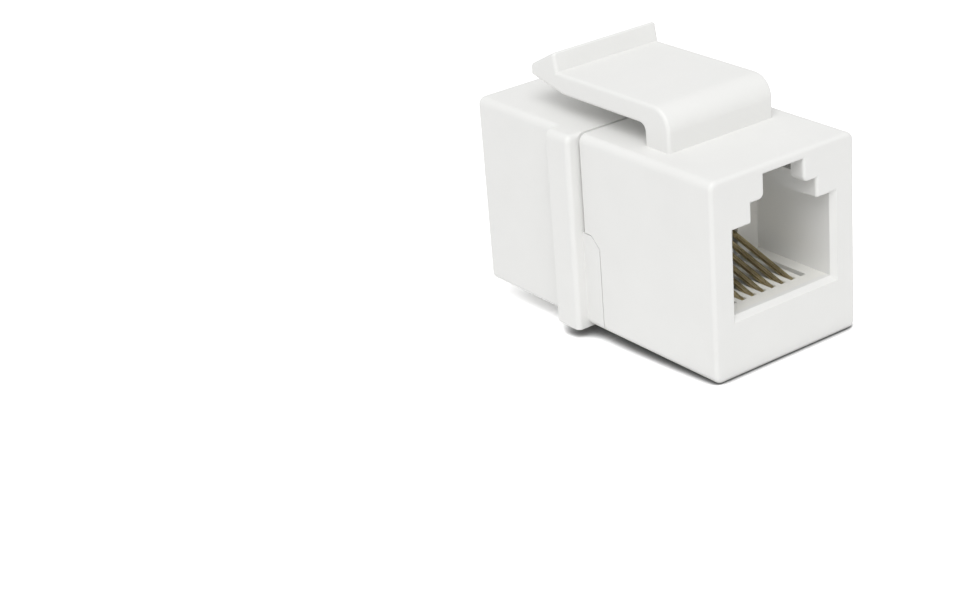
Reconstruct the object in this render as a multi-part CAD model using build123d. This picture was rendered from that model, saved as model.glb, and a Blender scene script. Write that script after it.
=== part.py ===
from build123d import *
import os
from math import cos, radians, sin, sqrt, tan

# Telephone keystone jack of the feed-through kind, with a six-position modular socket at each end.
# Millimetres. X runs across the jack, Y from the room side to the wall side, Z up.
# The snap latch is on top and the fixed catch underneath, and Z = 0 is the bottom of the catch.
# Both ends are the same shape: the front one is the rear one turned half round about the X axis.

# Body, set by the keystone opening of a wall plate
body_width = 14.5
body_height = 16.3
body_length = 28.3
body_round = 0.65
body_end_round = 0.35

# Stop flange, which rests on the back of the wall plate
flange_setback = 10.3
flange_thickness = 2.7
flange_side = 1.0
flange_drop = 0.2
flange_corner_round = 0.6
flange_front_round = 0.15
flange_rear_round = 0.4

# Fixed catch under the body: the wall plate's lip sits between it and the flange
panel_lip = 2.0
panel_lip_play = 0.1
catch_height = 1.3
catch_width = 9.0
catch_thickness = 1.5
catch_ramp = 0.9
catch_lead_round = 0.25
catch_edge_round = 0.15

# Joint between the two halves of the housing
tongue_height = 8.05
tongue_reach = 2.0
tongue_bevel = 0.9
tongue_round = 0.3
seam_gap = 0.12
tongue_gap = 0.08
seam_chamfer = 0.2

# Snap latch, moulded in one with the rear half
latch_width = 10.6
latch_gap = 1.67
latch_thickness = 1.75
latch_foot_thickness = 2.8
latch_tip_setback = 5.0
latch_foot_setback = 18.85
latch_outer_round = 1.8
latch_inner_round = 0.6
latch_edge_round = 0.3
nose_ridge_setback = 8.1
nose_heel = 0.3
nose_ridge_height = 1.62
nose_rise_start = 4.0
nose_rise = 0.85
nose_ridge_round = 0.2
nose_front_round = 0.35
nose_tip_round = 0.12
nose_underside_round = 1.5
release_notch_width = 4.4
release_notch_depth = 0.5

# Modular socket
socket_width = 9.9
socket_height = 7.0
socket_depth = 8.4
shoulder_width = 6.6
shoulder_height = 1.6
shoulder_round = 0.15
tab_slot_width = 4.0
tab_slot_height = 1.9
tab_slot_roof = 0.8
mouth_lip = 1.4
channel_depth = 11.0
channel_step = 0.2
lip_corner_round = 0.5
lead_in = 0.4
tab_slot_round = 0.25

# Contact carrier, one for each end, back to back in the middle
carrier_plate_thickness = 2.6
tray_thickness = 2.0
slot_setback = 1.9
contact_count = 6
slot_count = 8
contact_pitch = 1.02
wire_diameter = 0.48
wire_side_clearance = 0.03
end_slot_depth = 2.5

# Contact wires: each turns back in a hairpin under the closed end of its slot, and rises out of the slot
wire_corner_radius = 0.6
hairpin_radius = 0.5
hairpin_clearance = 0.05
hairpin_angle = 40.0
knee_depth = 0.05
knee_radius = 0.8
contact_angle = 18.0
contact_tip_depth = 1.7

# Places worked out from the sizes above
front = -body_length / 2
back = body_length / 2
underside = catch_height
top = underside + body_height
middle = (underside + top) / 2
flange_front = front + flange_setback
seam = flange_front + flange_thickness
catch_back = flange_front - panel_lip - panel_lip_play
socket_end = back - socket_depth
tab_slot_end = top - tab_slot_roof
tab_slot_level = tab_slot_end - tab_slot_height
shoulder_level = tab_slot_level - shoulder_height
contact_side = shoulder_level - socket_height
tray_bottom = contact_side - tray_thickness
slot_end = back - slot_setback
wire_radius = wire_diameter / 2
wire_low = tray_bottom + wire_radius
slot_width = wire_diameter + 2 * wire_side_clearance
steep = radians(hairpin_angle)
shallow = radians(contact_angle)
BEYOND = 40.0

# Where the wire's two straight stretches would cross, just under the end of its slot
knee_z = contact_side - wire_radius - knee_depth
ramp_offset = (wire_radius + hairpin_clearance) / sin(steep)
knee_y = slot_end + (contact_side - knee_z) / tan(steep) - ramp_offset

# Centre of the hairpin, and the tray's end beyond it
hairpin_z = wire_low + hairpin_radius
hairpin_top = hairpin_z + hairpin_radius * cos(steep)
hairpin_y = knee_y + (knee_z - hairpin_top) / tan(steep) - hairpin_radius * sin(steep)
tray_end = hairpin_y + hairpin_radius + wire_radius + hairpin_clearance


def slab(half_width, y0, y1, z0, z1):
    """Box across the middle of the jack."""
    return Pos(0, (y0 + y1) / 2, (z0 + z1) / 2) * Box(2 * half_width, y1 - y0, z1 - z0)


def turned(shape):
    """The same shape at the other end of the jack."""
    return Pos(0, 0, middle) * Rot(180, 0, 0) * Pos(0, 0, -middle) * shape


def outline(corners):
    """Closed outline through corners (u, v, radius), each rounded by its own radius."""
    face = Polygon(*[(u, v) for u, v, radius in corners], align=None)
    for u, v, radius in corners:
        if radius > 0:
            corner = face.vertices().sort_by_distance((u, v, 0))[0]
            face = fillet(corner, radius)
    return face


def across(corners, half_width):
    """Side-view outline in Y and Z, carried across the jack in X."""
    return extrude(Plane.YZ * outline(corners), amount=half_width, both=True)


def along(corners, y0, y1):
    """End-view outline in X and Z, carried along the jack from y0 to y1."""
    plane = Plane(origin=(0, y1, 0), x_dir=(1, 0, 0), z_dir=(0, -1, 0))
    return extrude(plane * outline(corners), amount=y1 - y0)


def front_zone(behind_flange, round_tongue):
    """All of the front half, up to the flange's back and the longer tongue below, grown by the two gaps."""
    level = underside + tongue_height + round_tongue
    reach = seam + tongue_reach + round_tongue
    bevel = tongue_bevel + (2 - sqrt(2)) * round_tongue
    corner = tongue_round + round_tongue
    joint = seam + behind_flange
    return across([(-BEYOND, -BEYOND, 0), (reach, -BEYOND, 0), (reach, level - bevel, corner),
                   (reach - bevel, level, corner), (joint, level, 0), (joint, BEYOND, 0),
                   (-BEYOND, BEYOND, 0)], BEYOND)


def cut_mouth(block):
    """Rear mouth of the socket: a bevelled lead-in for the plug's body, a round one by the tab's slot."""
    block -= along(socket_profile(), back - mouth_lip, back + 1)
    sides = [e for e in mouth_rim(block) if e.length > socket_height - 1]
    block = chamfer(sides, lead_in)
    upper = [e for e in mouth_rim(block) if e.center().Z > contact_side]
    finer = [e for e in upper if abs(e.center().X) < socket_width / 2]
    return fillet(finer, tab_slot_round)


def mouth_rim(block):
    face = block.faces().filter_by(Axis.Y).sort_by(Axis.Y)[-1]
    return face.inner_wires()[0].edges()


def body_block():
    block = slab(body_width / 2, front, back, underside, top)
    block = fillet(block.edges().filter_by(Axis.Y), body_round)
    ends = block.edges().group_by(Axis.Y)
    block = fillet(ends[0] + ends[-1], body_end_round)
    return cut_mouth(turned(cut_mouth(block)))


def flange():
    """Plate with its upper corners and its two rims rounded, and square along the bottom."""
    half = body_width / 2 + flange_side
    plate = slab(half, flange_front, seam, underside - flange_drop, top)
    plate = fillet(plate.edges().filter_by(Axis.Y).group_by(Axis.Z)[-1], flange_corner_round)
    for side, radius in ((0, flange_front_round), (-1, flange_rear_round)):
        face = plate.faces().filter_by(Axis.Y).sort_by(Axis.Y)[side]
        plate = fillet(face.edges().sort_by(Axis.Z)[1:], radius)
    return plate


def fixed_catch():
    """Ramped in front, where it tips in under the plate's lip, and square behind."""
    lead = catch_back - catch_thickness
    return across([(lead, underside + 1, 0), (lead, underside, 0), (lead + catch_ramp, 0, catch_lead_round),
                   (catch_back, 0, catch_edge_round), (catch_back, underside + 1, 0)], catch_width / 2)


def latch():
    """Foot, long flexible arm and hooked nose with its release notch."""
    half = latch_width / 2
    under = top + latch_gap
    upper = under + latch_thickness
    inner = front + latch_foot_setback
    outer = inner + latch_foot_thickness
    tip = front + latch_tip_setback
    ridge = front + nose_ridge_setback
    arm = across([(outer, top - 1, 0), (outer, upper, latch_outer_round), (ridge + nose_heel, upper, 0),
                  (ridge, upper + nose_ridge_height, nose_ridge_round), (tip, upper, nose_front_round),
                  (tip, under + nose_rise, nose_tip_round),
                  (tip + nose_rise_start, under, nose_underside_round),
                  (inner, under, latch_inner_round), (inner, top - 1, 0)], half)
    rims = [e for e in arm.edges() if abs(abs(e.center().X) - half) < 0.01 and e.center().Z > top]
    arm = fillet(rims, latch_edge_round)
    notch = slab(release_notch_width / 2, tip - 1, tip + release_notch_depth, under - 1, BEYOND)
    return arm - notch


def socket_profile():
    """End view of the mouth: the plug's body, its shoulders and the slot for its release tab."""
    a = socket_width / 2
    b = shoulder_width / 2
    c = tab_slot_width / 2
    right = [(a, contact_side, 0), (a, shoulder_level, 0), (b, shoulder_level, shoulder_round),
             (b, tab_slot_level, 0), (c, tab_slot_level, lip_corner_round), (c, tab_slot_end, 0)]
    left = [(-u, v, radius) for u, v, radius in reversed(right)]
    return right + left


def rear_space():
    """All that is hollow behind the rear mouth: the socket, the tab's channel and the carrier's seat."""
    end = back - channel_depth
    body = slab(socket_width / 2, socket_end, back - mouth_lip, contact_side, shoulder_level)
    shoulders = slab(shoulder_width / 2, end, back - mouth_lip, shoulder_level, tab_slot_level)
    undercut = slab(socket_width / 2, end, back - mouth_lip, tab_slot_level, tab_slot_end - channel_step)
    channel = slab(tab_slot_width / 2, end, back - mouth_lip, tab_slot_level, tab_slot_end)
    return body + shoulders + undercut + channel + carrier_envelope()


def carrier_envelope():
    half = socket_width / 2
    plate_end = carrier_plate_thickness
    plate = slab(half, 0, plate_end, tray_bottom, 2 * middle - tray_bottom)
    block = slab(half, plate_end, socket_end, tray_bottom, shoulder_level)
    tray = slab(half, plate_end, tray_end, tray_bottom, contact_side)
    return plate + block + tray


def slot_places(count):
    return [(i - (count - 1) / 2) * contact_pitch for i in range(count)]


def wire_stretches():
    """Rear half of a wire in Y and Z, from its tip to the middle: straight by two points, an arc by three."""
    bend = wire_corner_radius
    half_turn = (steep - shallow) / 2
    knee_run = knee_radius * tan(half_turn)
    knee_in = (knee_y - knee_run * cos(shallow), knee_z + knee_run * sin(shallow))
    knee_out = (knee_y + knee_run * cos(steep), knee_z - knee_run * sin(steep))
    tip_y = socket_end - contact_tip_depth
    tip = (tip_y, knee_z + (knee_y - tip_y) * tan(shallow))

    def knee(angle):
        centre_y = knee_in[0] - knee_radius * sin(shallow)
        centre_z = knee_in[1] - knee_radius * cos(shallow)
        return (centre_y + knee_radius * sin(angle), centre_z + knee_radius * cos(angle))

    def hairpin(angle):
        return (hairpin_y + hairpin_radius * sin(angle), hairpin_z + hairpin_radius * cos(angle))

    def corner(angle):
        return (bend * (1 - sin(angle)), wire_low + bend * (1 - cos(angle)))

    right_angle = radians(90)
    return [
        [tip, knee_in],
        [knee_in, knee((steep + shallow) / 2), knee_out],
        [knee_out, hairpin(steep)],
        [hairpin(steep), hairpin((steep + radians(180)) / 2), (hairpin_y, wire_low)],
        [(hairpin_y, wire_low), corner(0)],
        [corner(0), corner(right_angle / 2), corner(right_angle)],
    ]


def wire_path(x):
    """One line from the tip of the rear contact through the middle to the tip of the front one."""
    rear = [[(x, y, z) for y, z in stretch] for stretch in wire_stretches()]
    ahead = [[(x, -y, 2 * middle - z) for x, y, z in reversed(stretch)] for stretch in reversed(rear)]
    centre = [rear[-1][-1], ahead[0][0]]
    return Wire([ThreePointArc(*s) if len(s) == 3 else Line(*s) for s in rear + [centre] + ahead])


def contact_wire(x):
    path = wire_path(x)
    section = Plane(origin=path @ 0, z_dir=path % 0) * Circle(wire_radius)
    return sweep(section, path=path)


def comb_slot():
    """Slot through the tray, open along the contact and closed above the hairpin by a ramp."""
    far = tray_end + 1
    ramp_foot = contact_side - (far - slot_end) * tan(steep)
    return across([(socket_end, tray_bottom - 1, 0), (far, tray_bottom - 1, 0), (far, ramp_foot, 0),
                   (slot_end, contact_side, 0), (slot_end, contact_side + 1, 0),
                   (socket_end, contact_side + 1, 0)], slot_width / 2)


def wire_track():
    """Groove for the wire under the end block and up the back plate."""
    rise = wire_low + wire_radius
    inner = wire_corner_radius - wire_radius
    end = socket_end + 1
    return across([(-1, -1, 0), (end, -1, 0), (end, rise, 0), (wire_radius, rise, inner),
                   (wire_radius, BEYOND, 0), (-1, BEYOND, 0)], slot_width / 2)


def contact_carrier():
    """Rear carrier: back plate, end block and comb tray, with a track for every wire."""
    carrier = carrier_envelope()
    end_slot_end = socket_end - end_slot_depth
    end_slot = slab(slot_width / 2, end_slot_end, socket_end + 1, contact_side, shoulder_level + 1)
    for x in slot_places(slot_count):
        carrier -= Pos(x, 0, 0) * comb_slot()
    for x in slot_places(contact_count):
        carrier -= Pos(x, 0, 0) * wire_track()
        carrier -= Pos(x, 0, 0) * end_slot
    return carrier


def front_housing():
    shell = (body_block() + flange() + fixed_catch()) & front_zone(0, 0)
    return shell - turned(rear_space()) - rear_space()


def rear_housing():
    shell = body_block() - front_zone(seam_gap, tongue_gap)
    joint = shell.faces().filter_by(Axis.Y).sort_by(Axis.Y)[0]
    rim = [e for e in joint.edges() if e.center().Z > underside + tongue_height + 2 * tongue_gap]
    shell = chamfer(rim, seam_chamfer)
    shell = shell + latch()
    return shell - rear_space() - turned(rear_space())


os.makedirs("parts", exist_ok=True)
rear_carrier = contact_carrier()
pieces = {
    "front_housing": front_housing(),
    "rear_housing": rear_housing(),
    "front_contact_carrier": turned(rear_carrier),
    "rear_contact_carrier": rear_carrier,
}
for number, x in enumerate(slot_places(contact_count), start=1):
    pieces[f"contact_wire_{number}"] = contact_wire(x)
for name, shape in pieces.items():
    export_step(shape, f"parts/{name}.step")
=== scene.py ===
import math
import bpy
from mathutils import Euler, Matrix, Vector

# Telephone keystone jack on a white table, seen from behind and above on its right side.
# Lengths are in metres, and a noise scale is about the number of blobs to the metre.
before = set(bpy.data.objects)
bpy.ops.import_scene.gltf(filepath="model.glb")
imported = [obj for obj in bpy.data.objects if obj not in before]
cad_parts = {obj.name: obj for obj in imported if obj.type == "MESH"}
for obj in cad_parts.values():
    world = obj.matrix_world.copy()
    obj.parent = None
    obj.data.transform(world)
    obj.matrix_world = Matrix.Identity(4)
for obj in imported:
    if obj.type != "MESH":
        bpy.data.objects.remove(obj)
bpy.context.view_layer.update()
MM = 0.001


# Node helpers. Most of a noise lies within NOISE_MIDDLE.
NOISE_MIDDLE = (0.3, 0.7)


class Tree:
    """The emptied node tree of a material or world, with short ways to add nodes and join them."""

    def __init__(self, owner):
        owner.use_nodes = True
        self.nodes = owner.node_tree.nodes
        self.links = owner.node_tree.links
        self.nodes.clear()

    def add(self, kind, inputs, **settings):
        """Adds a node. An input given as a socket is joined to it, and any other is set."""
        node = self.nodes.new("ShaderNode" + kind)
        for name, value in settings.items():
            setattr(node, name, value)
        for name, value in inputs.items():
            if isinstance(value, bpy.types.NodeSocket):
                self.links.new(value, node.inputs[name])
            else:
                node.inputs[name].default_value = value
        return node

    def noise(self, vector, scale, detail):
        node = self.add("TexNoise", {"Vector": vector, "Scale": scale, "Detail": detail})
        return node.outputs["Fac"]

    def stretch(self, source, old_range, new_range):
        """Maps the old range of values to the new one. Values past its ends stay at the ends."""
        node = self.add("MapRange", {
            "Value": source,
            "From Min": old_range[0],
            "From Max": old_range[1],
            "To Min": new_range[0],
            "To Max": new_range[1],
        })
        return node.outputs["Result"]

    def blend(self, factor, first, second):
        """Colour between the first, at factor 0, and the second, at factor 1."""
        node = self.add("Mix", {"Factor": factor, "A": (*first, 1), "B": (*second, 1)}, data_type="RGBA")
        return node.outputs["Result"]

    def maths(self, operation, first, second):
        return self.add("Math", {0: first, 1: second}, operation=operation).outputs[0]

    def bump(self, height, distance, below=None):
        """Normal of a relief, distance high, laid over the normal below it if one is given."""
        node = self.add("Bump", {"Height": height, "Distance": distance})
        if below is not None:
            self.links.new(below, node.inputs["Normal"])
        return node.outputs["Normal"]

    def seen_directly(self):
        """1 for the camera's own rays and for what gloss or glass shows of the surroundings, else 0."""
        path = self.add("LightPath", {}).outputs
        either = self.maths("MAXIMUM", path["Is Camera Ray"], path["Is Glossy Ray"])
        return self.maths("MAXIMUM", either, path["Is Transmission Ray"])


def new_material(name):
    material = bpy.data.materials.new(name)
    return material, Tree(material)


# Injection-moulded plastic: spark-eroded grain over slow sink waves, faint flow clouds in the colour,
# and specks in the gloss
PLASTIC_IOR = 1.52
CLOUDS = {"scale": 260, "detail": 3}
SPECKS = {"scale": 2600, "detail": 2}
WAVES = {"scale": 190, "detail": 1}
GRAIN = {"scale": 7000, "detail": 2}
GRAIN_HEIGHT = 0.0015 * MM


def moulded_plastic(name, light, dark, roughness, wave_height):
    material, tree = new_material(name)
    place = tree.add("TexCoord", {}).outputs["Object"]
    clouds = tree.stretch(tree.noise(place, **CLOUDS), NOISE_MIDDLE, (0, 1))
    waves = tree.bump(tree.noise(place, **WAVES), wave_height)
    shader = tree.add("BsdfPrincipled", {
        "Base Color": tree.blend(clouds, light, dark),
        "Roughness": tree.stretch(tree.noise(place, **SPECKS), NOISE_MIDDLE, roughness),
        "IOR": PLASTIC_IOR,
        "Normal": tree.bump(tree.noise(place, **GRAIN), GRAIN_HEIGHT, waves),
    })
    tree.add("OutputMaterial", {"Surface": shader.outputs["BSDF"]})
    return material


# Gold over nickel on phosphor bronze: duller in patches, and with fine lines from drawing the wire.
# The wire runs along Y, where the small factor in DRAW_LINE_SHAPE makes the lines long.
GOLD_BRIGHT = (0.64, 0.545, 0.34)
GOLD_DULL = (0.36, 0.295, 0.17)
GOLD_ROUGHNESS = (0.12, 0.28)
PATCHES = {"scale": 500, "detail": 3}
DRAW_LINES = {"scale": 9000, "detail": 2}
DRAW_LINE_SHAPE = (1, 0.12, 0.6)
DRAW_LINE_HEIGHT = 0.003 * MM


def contact_metal():
    material, tree = new_material("contact_gold")
    place = tree.add("TexCoord", {}).outputs["Object"]
    drawn = tree.add("Mapping", {"Vector": place, "Scale": DRAW_LINE_SHAPE}).outputs["Vector"]
    patches = tree.stretch(tree.noise(place, **PATCHES), NOISE_MIDDLE, (0, 1))
    lines = tree.noise(drawn, **DRAW_LINES)
    shader = tree.add("BsdfPrincipled", {
        "Base Color": tree.blend(patches, GOLD_BRIGHT, GOLD_DULL),
        "Metallic": 1.0,
        "Roughness": tree.stretch(lines, NOISE_MIDDLE, GOLD_ROUGHNESS),
        "Normal": tree.bump(lines, DRAW_LINE_HEIGHT),
    })
    tree.add("OutputMaterial", {"Surface": shader.outputs["BSDF"]})
    return material


# Which material each node has: the wires, which aren't named here, are gold
housing = moulded_plastic(
    "housing_white",
    light=(0.815, 0.815, 0.80),
    dark=(0.80, 0.80, 0.785),
    roughness=(0.46, 0.54),
    wave_height=0.02 * MM,
)
carrier = moulded_plastic(
    "carrier_white",
    light=(0.84, 0.835, 0.80),
    dark=(0.81, 0.805, 0.77),
    roughness=(0.46, 0.56),
    wave_height=0.01 * MM,
)
gold = contact_metal()
FINISH = {
    "front_housing": housing,
    "rear_housing": housing,
    "front_contact_carrier": carrier,
    "rear_contact_carrier": carrier,
}
for name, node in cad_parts.items():
    node.data.materials.clear()
    node.data.materials.append(FINISH.get(name, gold))


# White table: it leans, because the jack rests on its fixed catch and on its rear bottom edge.
# It has a painted contact shadow: its colour darkens, by ambient occlusion, within a small reach of the
# jack. OPEN_RANGE says how open to the room a point is, from 0 to 1, where that painted shadow is full and
# where it ends, and SHADE_RANGE how light the painted table colour is there.
# What the camera, gloss and glass see of it is lightened by TABLE_LIFT, so that it joins the white room.
CATCH_EDGE_Y, CATCH_EDGE_Z = -5.95 * MM, 0.0
REAR_EDGE_Y, REAR_EDGE_Z = 14.0 * MM, 1.3 * MM
TABLE_WIDTH = 4
TABLE_GAP = 0.02 * MM
SHADOW_REACH = 1.5 * MM
OPEN_RANGE = (0.4, 0.8)
SHADE_RANGE = (0.22, 1.0)
TABLE_COLOUR = 0.88
TABLE_LIFT = 0.8


def table_material():
    material, tree = new_material("table_white")
    # Painted contact shadow: ambient occlusion darkens the table's colour, and its lift, near the jack
    openness = tree.add("AmbientOcclusion", {"Distance": SHADOW_REACH}).outputs["AO"]
    painted_shade = tree.stretch(openness, OPEN_RANGE, SHADE_RANGE)
    seen_painted_shade = tree.maths("MULTIPLY", tree.seen_directly(), painted_shade)
    matte = tree.add("BsdfDiffuse", {"Color": tree.maths("MULTIPLY", painted_shade, TABLE_COLOUR)})
    lift = tree.add("BsdfDiffuse", {"Color": tree.maths("MULTIPLY", seen_painted_shade, TABLE_LIFT)})
    both = tree.add("AddShader", {0: matte.outputs["BSDF"], 1: lift.outputs["BSDF"]})
    tree.add("OutputMaterial", {"Surface": both.outputs["Shader"]})
    return material


def table():
    bpy.ops.mesh.primitive_plane_add(size=TABLE_WIDTH)
    plane = bpy.context.object
    plane.name = "table"
    plane.data.materials.append(table_material())
    tilt = math.atan2(REAR_EDGE_Z - CATCH_EDGE_Z, REAR_EDGE_Y - CATCH_EDGE_Y)
    plane.rotation_euler = (tilt, 0, 0)
    plane.location = (0, 0, CATCH_EDGE_Z - CATCH_EDGE_Y * math.tan(tilt) - TABLE_GAP)


# Studio light: an even white room and one large softbox above the rear right corner
WHITE = (1, 1, 1, 1)
ROOM_LIGHT = 0.60
KEY_PLACE = (0.29, 0.29, 0.60)
KEY_AIM = (0, 0, 10 * MM)
KEY_WIDTH = 0.5
KEY_POWER = 3.0


def room():
    """Lights the jack with ROOM_LIGHT, and is plain white where it is seen."""
    world = bpy.data.worlds.new("room")
    bpy.context.scene.world = world
    tree = Tree(world)
    light = tree.add("Background", {"Color": WHITE, "Strength": ROOM_LIGHT})
    white = tree.add("Background", {"Color": WHITE, "Strength": 1.0})
    pick = tree.add("MixShader", {0: tree.seen_directly(), 1: light.outputs[0], 2: white.outputs[0]})
    tree.add("OutputWorld", {"Surface": pick.outputs[0]})


def key_box():
    data = bpy.data.lights.new("key_box", "AREA")
    data.shape = "SQUARE"
    data.size = KEY_WIDTH
    data.energy = KEY_POWER
    lamp = bpy.data.objects.new("key_box", data)
    lamp.location = KEY_PLACE
    towards = Vector(KEY_AIM) - Vector(KEY_PLACE)
    lamp.rotation_euler = towards.to_track_quat("-Z", "Y").to_euler()
    bpy.context.collection.objects.link(lamp)


# Camera, fitted to the photograph's view: lens and sensor in millimetres, turn in degrees
CAMERA_LENS = 78.8
CAMERA_SENSOR = 36
CAMERA_CLIP = (0.01, 20)
CAMERA_PLACE = (0.099899, 0.119971, 0.074184)
CAMERA_TURN = (65.198, 4.591, 143.657)


def camera():
    data = bpy.data.cameras.new("camera")
    data.lens = CAMERA_LENS
    data.sensor_width = CAMERA_SENSOR
    data.clip_start, data.clip_end = CAMERA_CLIP
    cam = bpy.data.objects.new("camera", data)
    cam.location = CAMERA_PLACE
    cam.rotation_euler = Euler([math.radians(angle) for angle in CAMERA_TURN])
    bpy.context.collection.objects.link(cam)
    bpy.context.scene.camera = cam


table()
room()
key_box()
camera()
bpy.context.scene.view_settings.view_transform = "Standard"
